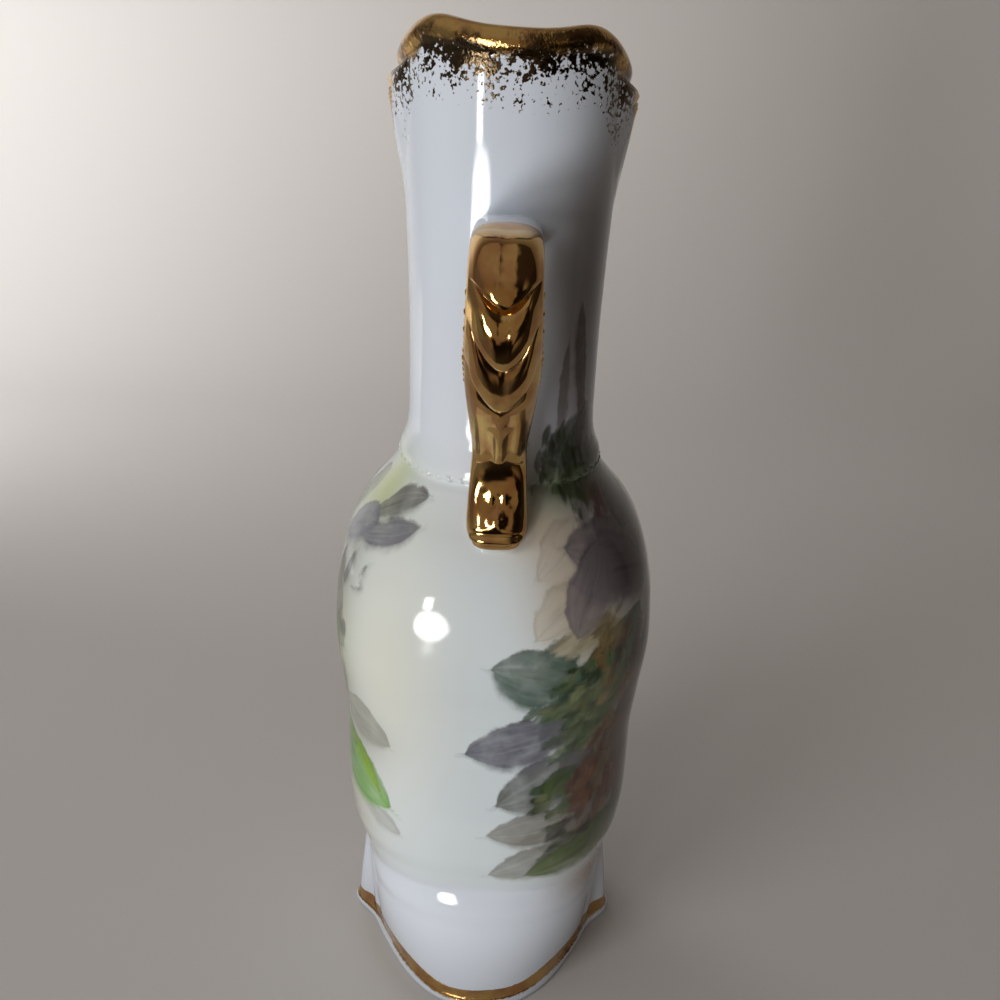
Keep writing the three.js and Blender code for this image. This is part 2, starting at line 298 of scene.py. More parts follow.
def handleRelief(along, side, length):  # rise of the outer face in millimetres
    apart = np.abs(side)
    rise = np.zeros_like(along + side)
    for tip, root, step, crown in handle["leaves"]:  # lowest first, each lying on the one before
        inside = (tip - along) * length + 0 * apart
        share = np.clip((along - root) / (tip - root), 0, 1)
        dome = np.clip(1 - (apart / handle["leafHalf"]) ** 2, 0, 1)
        pad = step * share ** .8 * (.5 + .5 * dome) + crown * dome * np.sin(math.pi * share ** .7)
        pad = pad - step * .2 * np.exp(-np.maximum(inside, 0) / .7)
        pad = pad - handle["creaseDepth"] * hill(apart, 0, .16) * share * (1 - share) * 4
        onLeaf = ramp(inside, -.15, .25) * ramp((handle["leafHalf"] - apart) * handle["width"] * .6, -.4, .5)
        rise = mix(rise, pad, onLeaf * ramp(along, .2, .3))
    stem = ramp(along, .58, .61) * (1 - ramp(along, .736, .745))
    ribHalf = mix(.1, .24, ramp(along, .6, .73))
    rib = np.sqrt(np.clip(1 - (apart / ribHalf) ** 2, 0, 1))
    rib = rib * ramp(along, .598, .64) * (1 - ramp(along, .731, .742))
    rise = rise + stem * handle["ledgeStep"] * (1 - ramp(apart, .7, .86)) + rib * handle["ribRise"]
    beside = hill(apart, ribHalf + .07, .08) * ramp(along, .6, .64) * (1 - ramp(along, .72, .74))
    rise = rise - handle["creaseDepth"] * beside
    drop = np.sqrt(np.clip(1 - (apart / .22) ** 2 - ((along - .862) / .017) ** 2, 0, 1))
    groove = hill(side, 0, .09) * hill(along, .825, .02) + hill(apart, .5, .16) * hill(along, .822, .024)
    rolls = hill(along, .9, .008) + .8 * hill(along, .9165, .007) - .9 * hill(along, .887, .006)
    return rise + drop * handle["dropRise"] - groove * handle["grooveDepth"] + rolls * handle["rollRise"]


def handleRings():
    def face(reach, rise):
        return mix(form["neckHalf"][0], handle["reach"], reach), mix(handle["end"], handle["top"], rise)

    path, length = curveThrough([(*face(a, b), c, d) for a, b, c, d in handleForm], handle["rows"])
    forward = np.gradient(path[:, :2], axis=0)
    forward /= np.linalg.norm(forward, axis=1)[:, None]
    outward = np.stack([-forward[:, 1], forward[:, 0]], 1)
    angle = -2 * math.pi * np.arange(handle["around"]) / handle["around"]
    radius = squareRadius(angle, 1, 1, 3.2)
    out, side = radius * np.cos(angle), radius * np.sin(angle)
    tips = np.array([leaf[0] for leaf in handle["leaves"]] + [.74])
    steps = np.array([-1.6, -1.1, -.7, -.4, -.15, .1, .35, .8]) / length
    shares = np.unique(np.concatenate([np.linspace(0, 1, handle["rows"]), (tips[:, None] + steps).ravel()]))
    everyShare = np.linspace(0, 1, len(path))
    hang = np.array(handle["edgeDepth"])
    rings = []
    for share in shares:  # the rows dip in the middle as the leaves' edges do
        dip = np.interp(share, hang[:, 0], hang[:, 1])
        aside = np.clip(np.abs(side) / handle["leafHalf"], 0, 1.1) ** handle["edgeBend"]
        place = share - dip * aside * ramp(out, -.2, .5)
        x, z, width, thickness = (np.interp(place, everyShare, path[:, k]) for k in range(4))
        outX, outZ = (np.interp(place, everyShare, outward[:, k]) for k in range(2))
        half = thickness * handle["thickness"] / 2
        push = out * half + handleRelief(share, side, length) * ramp(out, .2, .6) - half
        rings.append(np.stack([x + outX * push, side * width * handle["width"] / 2, z + outZ * push], 1))
    return rings, path, outward


def combine(target, other, operation):  # joins or cuts and drops the other object
    change = target.modifiers.new(operation, "BOOLEAN")
    change.operation, change.object, change.solver = operation, other, "MANIFOLD"
    bpy.context.view_layer.update()
    result = bpy.data.meshes.new_from_object(target.evaluated_get(bpy.context.evaluated_depsgraph_get()))
    target.modifiers.clear()
    target.data = result
    bpy.data.objects.remove(other)


vase = meshFromRings("vessel", vesselRings())
strapRings, strapPath, strapOutward = handleRings()
for turned in (1, -1):
    strap = meshFromRings("strap", [ring * (turned, turned, 1) for ring in strapRings])
    combine(strap, wallCore(), "DIFFERENCE")
    combine(vase, strap, "UNION")
print("form:", len(vase.data.polygons), "faces")


def feed(tree, socket, value):  # gives a socket a link or a plain value
    source = value.socket if isinstance(value, Value) else value
    if isinstance(source, bpy.types.NodeSocket):
        tree.links.new(source, socket)
    else:
        socket.default_value = source


def worked(tree, operation, *inputs):  # one Math node
    node = tree.nodes.new("ShaderNodeMath")
    node.operation = operation
    for socket, value in zip(node.inputs, inputs):
        feed(tree, socket, value)
    return Value(tree, node.outputs[0])


class Value:  # a socket with arithmetic; plain numbers stay on the node
    def __init__(self, tree, socket):
        self.tree, self.socket = tree, socket

    def __add__(self, other): return worked(self.tree, "ADD", self, other)
    def __sub__(self, other): return worked(self.tree, "SUBTRACT", self, other)
    def __rsub__(self, other): return worked(self.tree, "SUBTRACT", other, self)
    def __mul__(self, other): return worked(self.tree, "MULTIPLY", self, other)
    __radd__, __rmul__ = __add__, __mul__
    def __abs__(self): return worked(self.tree, "ABSOLUTE", self)
    def larger(self, other): return worked(self.tree, "MAXIMUM", self, other)

    def step(self, low, high):  # smooth step from 0 at low to 1 at high
        node = self.tree.nodes.new("ShaderNodeMapRange")
        node.interpolation_type = "SMOOTHSTEP"
        for key, value in (("Value", self), ("From Min", low), ("From Max", high)):
            feed(self.tree, node.inputs[key], value)
        return Value(self.tree, node.outputs["Result"])


class Nodes:  # one node tree and the few ways nodes are added to it
    def __init__(self, tree):
        self.tree = tree
        tree.nodes.clear()

    def node(self, kind, settings=(), **links):
        node = self.tree.nodes.new(kind)
        for key, value in dict(settings).items():
            setattr(node, key, value)
        for key, value in links.items():
            feed(self.tree, node.inputs[key.replace("_", " ")], value)
        return node

    def attribute(self, name):
        return self.node("ShaderNodeAttribute", {"attribute_name": name})

    def parts(self, vector):  # the three numbers of a vector
        node = self.node("ShaderNodeSeparateXYZ", Vector=vector)
        return [Value(self.tree, out) for out in node.outputs]

    def blend(self, share, first, second):  # colour mix
        node = self.node("ShaderNodeMix", {"data_type": "RGBA"})
        for socket, value in ((node.inputs[0], share), (node.inputs[6], first), (node.inputs[7], second)):
            feed(self.tree, socket, (*value, 1) if isinstance(value, tuple) else value)
        return node.outputs[2]

    def noise(self, place, scale, detail=2.0, rough=.5):
        node = self.node("ShaderNodeTexNoise", Vector=place, Scale=scale, Detail=detail, Roughness=rough)
        return Value(self.tree, node.outputs["Fac"])


# Beads that follow the collar's edge and the handles' shoulders. Shares are of the handle's length
beads = {"collarCount": 54, "collarSize": 1.15, "collarOut": -.62, "collarUp": 1.3, "collarWobble": .25,
         "handleCount": 13, "handleSize": 1.0, "handleFrom": .36, "handleTo": .56, "handleDown": 3.2,
         "handleIn": .62, "handleWobble": .3, "seed": 4}


def beadTree():  # node group: a row of small rounded beads along every line
    tree = bpy.data.node_groups.new("beadRow", "GeometryNodeTree")
    face = tree.interface
    for label, kind in (("Geometry", "Geometry"), ("Count", "Int"), ("Size", "Float"), ("Wobble", "Float"),
                        ("Seed", "Int"), ("Material", "Material")):
        face.new_socket(label, in_out="INPUT", socket_type="NodeSocket" + kind)
    face.new_socket("Geometry", in_out="OUTPUT", socket_type="NodeSocketGeometry")
    nodes = Nodes(tree)
    given = nodes.node("NodeGroupInput").outputs
    line = nodes.node("GeometryNodeMeshToCurve", Mesh=given["Geometry"]).outputs[0]
    points = nodes.node("GeometryNodeCurveToPoints", {"mode": "COUNT"}, Curve=line, Count=given["Count"])
    bead = nodes.node("GeometryNodeMeshIcoSphere", Radius=given["Size"], Subdivisions=2).outputs[0]
    scale = nodes.node("FunctionNodeRandomValue", {"data_type": "FLOAT"}, Seed=given["Seed"])
    feed(tree, scale.inputs[2], 1 - Value(tree, given["Wobble"]))
    feed(tree, scale.inputs[3], 1)
    placed = nodes.node("GeometryNodeInstanceOnPoints", Points=points.outputs["Points"], Instance=bead,
                        Rotation=points.outputs["Rotation"], Scale=scale.outputs[1]).outputs[0]
    whole = nodes.node("GeometryNodeRealizeInstances", Geometry=placed).outputs[0]
    dressed = nodes.node("GeometryNodeSetMaterial", Geometry=whole, Material=given["Material"]).outputs[0]
    feed(tree, nodes.node("NodeGroupOutput").inputs[0], dressed)
    return tree


beadRow = beadTree()


def beadsAlong(name, points, closed, count, size, wobble):  # plain mesh of the beads along one line
    edges = [(i, i + 1) for i in range(len(points) - 1)] + ([(len(points) - 1, 0)] if closed else [])
    line = bpy.data.meshes.new(name)
    line.from_pydata((np.array(points) * mm).tolist(), edges, [])
    piece = bpy.data.objects.new(name, line)
    bpy.context.scene.collection.objects.link(piece)
    row = piece.modifiers.new("beads", "NODES")
    row.node_group = beadRow
    slots = {item.name: item.identifier for item in beadRow.interface.items_tree if item.in_out == "INPUT"}
    for label, value in (("Count", count), ("Size", size * mm), ("Wobble", wobble), ("Seed", beads["seed"])):
        row[slots[label]] = value
    bpy.context.view_layer.update()
    result = bpy.data.meshes.new_from_object(piece.evaluated_get(bpy.context.evaluated_depsgraph_get()))
    piece.modifiers.clear()
    piece.data = result
    return piece


def collarBeads():
    height = collarBase + beads["collarUp"]
    halfX, halfY, squareness = wallAt(height)
    edge = squareRadius(turn, halfX + beads["collarOut"], halfY + beads["collarOut"], squareness)
    return beadsAlong("collarBeads", ringAt(edge, height), True, beads["collarCount"], beads["collarSize"],
                      beads["collarWobble"])


def handleBeads(turned, side):  # one row, below one edge of one strap
    line = []
    for i, (x, z, width, _) in enumerate(strapPath):
        if beads["handleFrom"] < i / (len(strapPath) - 1) < beads["handleTo"]:
            outX, outZ = strapOutward[i] * beads["handleDown"]
            across = width * handle["width"] / 2 - beads["handleIn"]
            line.append((turned * (x - outX), turned * side * across, z - outZ))
    return beadsAlong("handleBeads", line, False, beads["handleCount"], beads["handleSize"],
                      beads["handleWobble"])


extra = [collarBeads()] + [handleBeads(turned, side) for turned in (1, -1) for side in (1, -1)]
for piece in extra:
    combine(vase, piece, "UNION")
print("beads joined:", len(vase.data.polygons), "faces")

mesh = vase.data
vase.name = mesh.name = "vasePorcelain"
mesh.shade_smooth()
mesh.materials.clear()
spot = np.empty(len(mesh.vertices) * 3)
mesh.vertices.foreach_get("co", spot)
x, y, z = spot.reshape(-1, 3).T / mm
angle, radius = np.arctan2(y, x), np.hypot(x, y)
degrees = np.degrees(angle)
halfX, halfY, squareness = wallAt(np.clip(z, form["footHeight"], neckTop))
wallRadius = squareRadius(angle, halfX, halfY, squareness)
inner = radius < wallRadius - form["wall"] * .6
onHandle = (z > collarBase - 18) & (z < handle["top"] + 6.5) & (radius > wallRadius + 1.5) & (np.abs(y) < 11)


def store(name, values, kind):
    layer = mesh.attributes.new(name, kind, "POINT")
    field = "color" if "COLOR" in kind else "vector" if kind == "FLOAT_VECTOR" else "value"
    layer.data.foreach_set(field, np.ascontiguousarray(values, dtype=np.float32).ravel())


def linear(colour):  # 0-255 screen colour to light
    c = np.array(colour, float) / 255
    return np.where(c < .04045, c / 12.92, ((c + .055) / 1.055) ** 2.4)


# The painting. Places are (degrees round the vase, height in mm); sizes are in mm
paint = {
    "ground": (218, 226, 238), "bodyGround": (218, 228, 234),
    "washes": [
        # place, half width, half height, colour, strength
        ((-66, 148), 14, 9, (192, 204, 130), .8), ((-62, 112), 10, 26, (172, 174, 130), .7),
        ((-34, 112), 14, 40, (226, 222, 196), .5),
        ((-58, 60), 13, 16, (196, 193, 176), .7), ((-48, 86), 9, 9, (150, 150, 136), .5),
        ((-62, 131), 8, 9, (140, 144, 152), .6), ((-70, 90), 11, 40, (120, 124, 96), .5),
        ((20, 147), 16, 6, (222, 206, 182), .8), ((25, 136), 11, 14, (190, 176, 154), .75),
        ((33, 155), 14, 6, (110, 126, 90), .9), ((42, 92), 11, 40, (92, 84, 58), .9),
        ((66, 100), 17, 56, (66, 52, 42), .95), ((72, 150), 14, 14, (74, 62, 54), .9),
        # The first wash on the next line, dark on the neck's right, is partly painted shade where light falls
        # off and the handle's shadow lies, and partly the brown strokes painted there.
        ((50, 190), 15, 42, (104, 90, 84), .85), ((60, 36), 15, 6, (176, 150, 128), .8),
        ((34, 60), 12, 12, (130, 128, 104), .75), ((32, 124), 9, 9, (172, 160, 132), .8),
        ((24, 104), 7, 10, (140, 150, 126), .5),
        ((110, 60), 22, 16, (160, 166, 116), .6), ((100, 130), 26, 14, (206, 184, 160), .6),
        ((-112, 90), 22, 30, (196, 184, 150), .5), ((-95, 120), 20, 20, (186, 196, 146), .5),
        ((140, 140), 14, 10, (190, 200, 150), .5), ((-130, 140), 14, 10, (190, 190, 140), .5),
        ((150, 80), 12, 20, (200, 200, 180), .5), ((-150, 60), 14, 16, (196, 190, 168), .4),
    ],
    "palettes": {
        "foliage": [(40, 54, 38), (64, 88, 56), (90, 116, 78), (120, 128, 90), (52, 68, 50)],
        "dusk": [(98, 90, 94), (120, 112, 118), (84, 76, 78), (134, 126, 130)],
        "earth": [(66, 38, 28), (92, 60, 42), (52, 38, 30), (112, 92, 62), (96, 44, 30)],
        "shade": [(38, 40, 30), (56, 62, 44), (48, 40, 36), (74, 88, 58)],
        "ochre": [(118, 98, 66), (140, 122, 84), (94, 78, 54)],
        "rust": [(92, 58, 44), (74, 44, 34), (112, 78, 58)],
        "olive": [(140, 142, 118), (118, 120, 104), (160, 160, 140), (104, 106, 96)],
        "fresh": [(110, 160, 60), (150, 190, 80), (90, 130, 60)],
    },
    "masses": [
        # base, tip, half width, bend, colour at the base, colour at the tip, strength, layer
        ((18, 90), (58, 130), 8, 1, (64, 78, 44), (60, 66, 44), .95, 0),
        ((44, 46), (36, 108), 11, 0, (84, 58, 42), (92, 78, 50), .95, 0),
        ((72, 30), (66, 140), 15, 0, (60, 38, 30), (66, 56, 50), .97, 0),
        ((62, 172), (34, 150), 8, 2, (46, 44, 38), (84, 96, 66), .9, 0),
        ((92, 160), (58, 134), 9, 3, (60, 48, 42), (80, 70, 68), .95, 0),
        ((-84, 60), (-64, 130), 6, 0, (120, 122, 96), (140, 140, 120), .6, 0),
    ],
    "strokes": [
        # middle, half width, half height, way (degrees), length and half width of a stroke, count,
        # palette, lowest layer
        ((36, 108), 8, 15, 232, 10, 1.5, 60, "foliage", 1), ((27, 98), 4.5, 7, 222, 9, 1.5, 30, "foliage", 4),
        ((32, 110), 5, 9, 236, 10, 1.6, 30, "foliage", 4), ((38, 122), 4, 8, 240, 10, 1.5, 18, "ochre", 4),
        ((50, 106), 5, 20, 250, 12, 1.6, 26, "earth", 1), ((41, 80), 7, 14, 262, 11, 1.7, 40, "earth", 1),
        ((38, 80), 4, 9, 258, 10, 1.6, 22, "rust", 4), ((29, 76), 4, 6, 222, 8, 1.4, 20, "foliage", 4),
        ((56, 142), 9, 9, 210, 13, 2.2, 22, "dusk", 1), ((36, 60), 6, 5, 208, 11, 1.6, 18, "shade", 4),
        ((38, 162), 10, 7, 255, 8, 1.4, 40, "shade", 4), ((62, 84), 8, 30, 268, 15, 2.0, 40, "earth", 1),
        ((42, 60), 9, 8, 205, 11, 1.5, 24, "shade", 1), ((-66, 104), 5, 24, 275, 10, 1.3, 30, "olive", 1),
        ((-62, 122), 4, 9, 262, 9, 2.0, 14, "dusk", 1), ((62, 152), 8, 6, 220, 14, 1.6, 18, "earth", 1),
        ((-60, 78), 5, 4, 335, 9, 1.2, 6, "fresh", 4), ((100, 80), 14, 20, 240, 11, 1.8, 30, "foliage", 1),
        ((-100, 90), 14, 20, 300, 11, 1.8, 30, "foliage", 1),
    ],
    "leaves": [
        # base, tip, half width, bend, colour at the base, colour at the tip, strength, layer
        ((-60, 143), (-31, 151), 3.6, 1.5, (112, 114, 112), (98, 96, 92), .9, 3),
        ((-62, 139), (-28, 146), 3.2, -1, (116, 116, 130), (104, 102, 112), .9, 4),
        ((-78, 134), (-48, 143), 4.6, 1.5, (112, 114, 130), (134, 136, 148), .9, 5),
        ((-68, 118), (-64, 136), 1.8, .6, (84, 88, 88), (104, 106, 106), .8, 3),
        ((-60, 124), (-55, 137), 1.3, -.8, (88, 92, 92), (112, 114, 114), .8, 4),
        ((-47, 128), (-44, 136), .9, 1.2, (72, 80, 74), (104, 110, 104), .8, 3),
        ((-54, 128), (-45, 130), .7, -1.4, (80, 88, 82), (112, 116, 110), .7, 5),
        ((-62, 92), (-32, 85), 6.4, 1.5, (150, 150, 136), (134, 134, 122), .65, 3),
        ((-84, 82), (-30, 64), 8.8, 1.0, (78, 124, 58), (142, 192, 116), 1, 4),
        ((-62, 84), (-37, 66), 2.4, 2.4, (110, 150, 30), (160, 200, 60), .95, 5),
        ((-50, 66), (-29, 57), 3.4, 0, (160, 162, 154), (156, 158, 152), .55, 3),
        ((56, 164), (45, 202), 3.8, 1.0, (56, 42, 36), (70, 54, 46), .9, 3),
        ((38, 158), (39, 192), 2.8, 1.0, (84, 70, 60), (104, 90, 80), .7, 4),
        ((50, 158), (52, 186), 2.8, -1.0, (60, 46, 40), (92, 78, 68), .8, 5),
        ((60, 170), (20, 160), 5.6, 1.5, (34, 36, 28), (56, 70, 46), .92, 4),
        ((60, 156), (25, 152), 3.6, -1, (50, 62, 38), (88, 108, 68), .85, 3),
        ((80, 158), (50, 140), 4.2, 2.5, (48, 38, 34), (66, 56, 54), .95, 3),
        ((68, 140), (22, 144), 8.0, 3.4, (84, 76, 80), (116, 108, 114), .95, 3),
        ((66, 132), (22, 135), 8.0, -2.4, (78, 70, 74), (118, 110, 116), .95, 4),
        ((42, 143), (26, 120), 6.0, -1.8, (96, 88, 92), (124, 116, 122), .9, 5),
        ((36, 148), (12, 136), 5.5, 1.2, (166, 152, 136), (200, 190, 176), .6, 1),
        ((34, 136), (12, 121), 5.5, -1.0, (160, 148, 128), (204, 194, 176), .65, 2),
        ((40, 127), (16, 119), 3.8, .8, (136, 124, 96), (176, 168, 140), .7, 3),
        ((31, 110), (-3, 116), 8.4, .8, (66, 88, 76), (104, 120, 114), .97, 3),
        ((26, 113), (3, 116), 3.2, 1.6, (110, 126, 116), (116, 128, 120), .55, 5),
        ((29, 99), (-12, 88), 7.6, 2.6, (84, 84, 96), (106, 108, 122), .97, 4),
        ((38, 88), (0, 71), 8.2, 2.4, (86, 88, 94), (112, 116, 108), .95, 3),
        ((32, 84), (22, 71), 3.2, -2, (50, 64, 36), (80, 98, 60), .9, 5),
        ((24, 74), (14, 73), 1.0, 0, (30, 34, 24), (44, 48, 34), .9, 4),
        ((44, 70), (-4, 62), 5.8, 1.8, (110, 106, 98), (146, 146, 140), .9, 4),
        ((64, 68), (11, 45), 7.6, 3.4, (34, 40, 26), (96, 116, 64), .97, 5),
        ((56, 68), (24, 55), 2.4, 3.0, (26, 28, 20), (44, 50, 32), .95, 3),
        ((38, 60), (-2, 46), 6.2, 2.0, (124, 124, 118), (156, 158, 152), .88, 3),
    ],
    "flowers": [
        # middle, size, dark and light colours
        ((76, 78), 14, (76, 22, 16), (134, 66, 48)),
        ((106, 110), 17, (120, 46, 36), (206, 150, 122)),
        ((-104, 104), 17, (126, 60, 52), (214, 164, 140)),
        ((-88, 70), 12, (110, 48, 42), (196, 140, 118)),
    ],
    "spray": [(94, 148, 26), (132, 96, 24), (-124, 74, 24), (-80, 112, 20), (-98, 140, 20)],
    "layers": 6, "seed": 11,
}


# The skin is laid flat round the vase at the size that the belly has at the broad faces
skinRadius = form["bellyHalf"][1]
wrap = 2 * math.pi * skinRadius
flat = np.stack([np.radians(degrees) * skinRadius, z], 1)


def roundPlace(place):  # (degrees, height) to mm along the skin
    return np.array([np.radians(place[0]) * skinRadius, place[1]])


def inDegrees(run):  # mm round the skin to degrees
    return math.degrees(run / skinRadius)


def gapFrom(start):  # the skin's points seen from one, the short way round
    gap = flat - start
    gap[:, 0] = (gap[:, 0] + wrap / 2) % wrap - wrap / 2
    return gap


bodyShare = ramp(z, form["footHeight"] - 1, form["footHeight"] + 6)[:, None]
bodyShare = bodyShare * (1 - ramp(z, collarBase - 14, neckBase + 8))[:, None]
ground = linear(paint["ground"]) * (1 - bodyShare) + linear(paint["bodyGround"]) * bodyShare
for place, halfWide, halfHigh, colour, strength in paint["washes"]:
    gap = gapFrom(roundPlace(place))
    share = np.exp(-((gap[:, 0] / halfWide) ** 2 + (gap[:, 1] / halfHigh) ** 2)) * strength
    share *= ramp(z, 6, 34) * (1 - inner)
    ground = ground + (linear(colour) - ground) * share[:, None]

layers = [{"shape": np.full((len(z), 3), -9.0), "tint": np.zeros((len(z), 4))}
          for _ in range(paint["layers"])]


def addLeaf(base, tip, half, bend, dark, light, strength, layer):
    start, end = roundPlace(base), roundPlace(tip)
    reach = np.linalg.norm(end - start)
    ahead = (end - start) / reach
    gap = gapFrom(start)
    along = gap @ ahead / reach
    across = gap @ np.array([-ahead[1], ahead[0]]) - bend * 4 * along * (1 - along)
    t = np.clip(along, 0, 1)
    u = np.clip(t / .9, 0, 1)
    width = half * ((4 * u * (1 - u)) ** .72 + .3 * (1 - t) * ramp(t, .3, .8))  # an oval with a thin tail
    beyond = np.maximum(np.maximum(-along, along - 1), 0) * reach
    inside = (width - np.abs(across)) * .85 - beyond * 1.5
    shape, tint = layers[layer]["shape"], layers[layer]["tint"]
    better = (inside > shape[:, 2]) & ~inner
    upward = 1 if ahead[0] > 0 else -1
    shape[better] = np.stack([t, upward * across / np.maximum(width, .6), inside], 1)[better]
    colour = linear(dark) + (linear(light) - linear(dark)) * t[:, None]
    tint[better] = np.column_stack([colour, strength * ramp(t, -.15, .22)])[better]


dice = np.random.default_rng(paint["seed"])
for leaf in paint["masses"]:
    addLeaf(*leaf)
for middle, halfWide, halfHigh, way, length, half, count, palette, lowest in paint["strokes"]:
    for k in range(count):
        lead = math.radians(way + dice.normal(0, 16))
        reach = length * dice.uniform(.6, 1.2)
        base = (middle[0] + inDegrees(dice.normal(0, halfWide * .6)),
                middle[1] + dice.normal(0, halfHigh * .6))
        tip = (base[0] + inDegrees(reach * math.cos(lead)), base[1] + reach * math.sin(lead))
        colours = paint["palettes"][palette]
        first, second = (colours[dice.integers(len(colours))] for _ in range(2))
        addLeaf(base, tip, half * dice.uniform(.6, 1.3), dice.uniform(-.8, .8), first, second,
                dice.uniform(.6, .95), lowest + int(dice.integers(0, 2)))
for leaf in paint["leaves"]:
    addLeaf(*leaf)
for middle, height, spread in paint["spray"]:  # plainer leaves where the broad faces turn away
    for k in range(5):
        way = dice.uniform(0, 2 * math.pi)
        base = (middle + dice.uniform(-6, 6), height + dice.uniform(-5, 5))
        tip = (base[0] + inDegrees(math.cos(way) * spread), base[1] + math.sin(way) * spread)
        shade = dice.uniform(.8, 1.2)
        addLeaf(base, tip, dice.uniform(4, 6), dice.uniform(-2, 2), np.array((66, 80, 56)) * shade,
                np.array((120, 136, 108)) * shade, .8, int(dice.integers(3, paint["layers"])))
for place, size, dark, light in paint["flowers"]:  # petals laid round a dark heart
    for ringSize, count, layer in ((1, 6, 1), (.72, 5, 3), (.42, 4, 5)):
        for k in range(count):
            way = 2 * math.pi * (k + .4 * layer) / count
            out = np.array([math.cos(way), math.sin(way)]) * size * ringSize
            tip = (place[0] + inDegrees(out[0]), place[1] + out[1])
            base = (place[0] - inDegrees(out[0]) * .25, place[1] - out[1] * .25)
            addLeaf(base, tip, size * ringSize * .42, 0, dark, light, .92, layer)
for number, layer in enumerate(layers):
    store(f"leafShape{number}", layer["shape"], "FLOAT_VECTOR")
    store(f"leafTint{number}", layer["tint"], "FLOAT_COLOR")
store("ground", np.column_stack([ground, np.ones(len(z))]), "FLOAT_COLOR")

# Gilding: how far below the rim (mm), inside the foot's band (mm), and on handles and shells (share).
# The corners of the lip are in degrees round the vase
gilt = {"rimDepth": 3.8, "speckleDepth": 15.5, "cornerDepth": 22.0, "innerDepth": 5.0,
        "corners": (62, 118), "cornerHalf": 12, "bandLow": 2.3, "bandHigh": 5.4, "bandFlank": 2.8,
        "shellShare": .6, "archReach": 45, "archHeight": 216, "archLean": .25, "archBow": .06}
rimLine = rimHeight + lift(angle, np.full_like(z, rimHeight))
below = rimLine - z
atCorner = sum(np.exp(-((np.abs(degrees) - place) / gilt["cornerHalf"]) ** 2) for place in gilt["corners"])
deeper = below * gilt["speckleDepth"] / gilt["innerDepth"]
below = np.where(inner & (below > form["lipHeight"]), deeper, below)
below = below / (1 + (gilt["cornerDepth"] / gilt["speckleDepth"] - 1) * atCorner)
wave = .8 * np.sin(5 * angle) + .5 * np.sin(11 * angle + 1)
fromFront = np.degrees(math.pi / 2 - fromFace(angle))
bandTop = gilt["bandHigh"] + gilt["bandFlank"] * ramp(fromFront, 10, 48) * (1 - .4 * ramp(fromFront, 60, 85))
band = np.minimum(z - gilt["bandLow"] - .2 * wave, bandTop + wave * .3 - z)
band = np.where(inner & (radius < baseRadius(angle) - form["baseLipStep"] - 2.5), -9, band)
shellReach = shellShare(angle, z, wallRadius)[0]
onShell = np.where((shellReach < 1.05) & ~inner, ramp(radius - wallRadius, 1.3, 2.2) * gilt["shellShare"], 0)
# The porcelain shows white where a handle's arch leaves the neck: a painted reflection of the white neck on
# the arch's top.
arch = gilt["archReach"] + gilt["archLean"] * (z - gilt["archHeight"]) + gilt["archBow"] * y ** 2
full = np.where(onHandle, ramp(np.abs(x) - arch * (z > 208), -.8, .8), 0)
store("gilt", np.column_stack([below, band, np.maximum(full, onShell)]), "FLOAT_VECTOR")
print("painting laid out")

glaze = {
    "roughness": .08, "index": 1.52, "veinDarkness": .22, "softEdge": .72,
    "goldRoughness": .09, "gold": (.66, .42, .15), "wornGold": (.50, .25, .10),
    # The speck colour is a painted dark reflection: the near-black that gilding shows where it mirrors the
    # dark room.
    "speckSize": 1.1, "darkReflection": (.10, .07, .04), "speckBump": .7,
}


def newMaterial(name):
    material = bpy.data.materials.new(name)
    material.use_nodes = True
    return material, Nodes(material.node_tree)


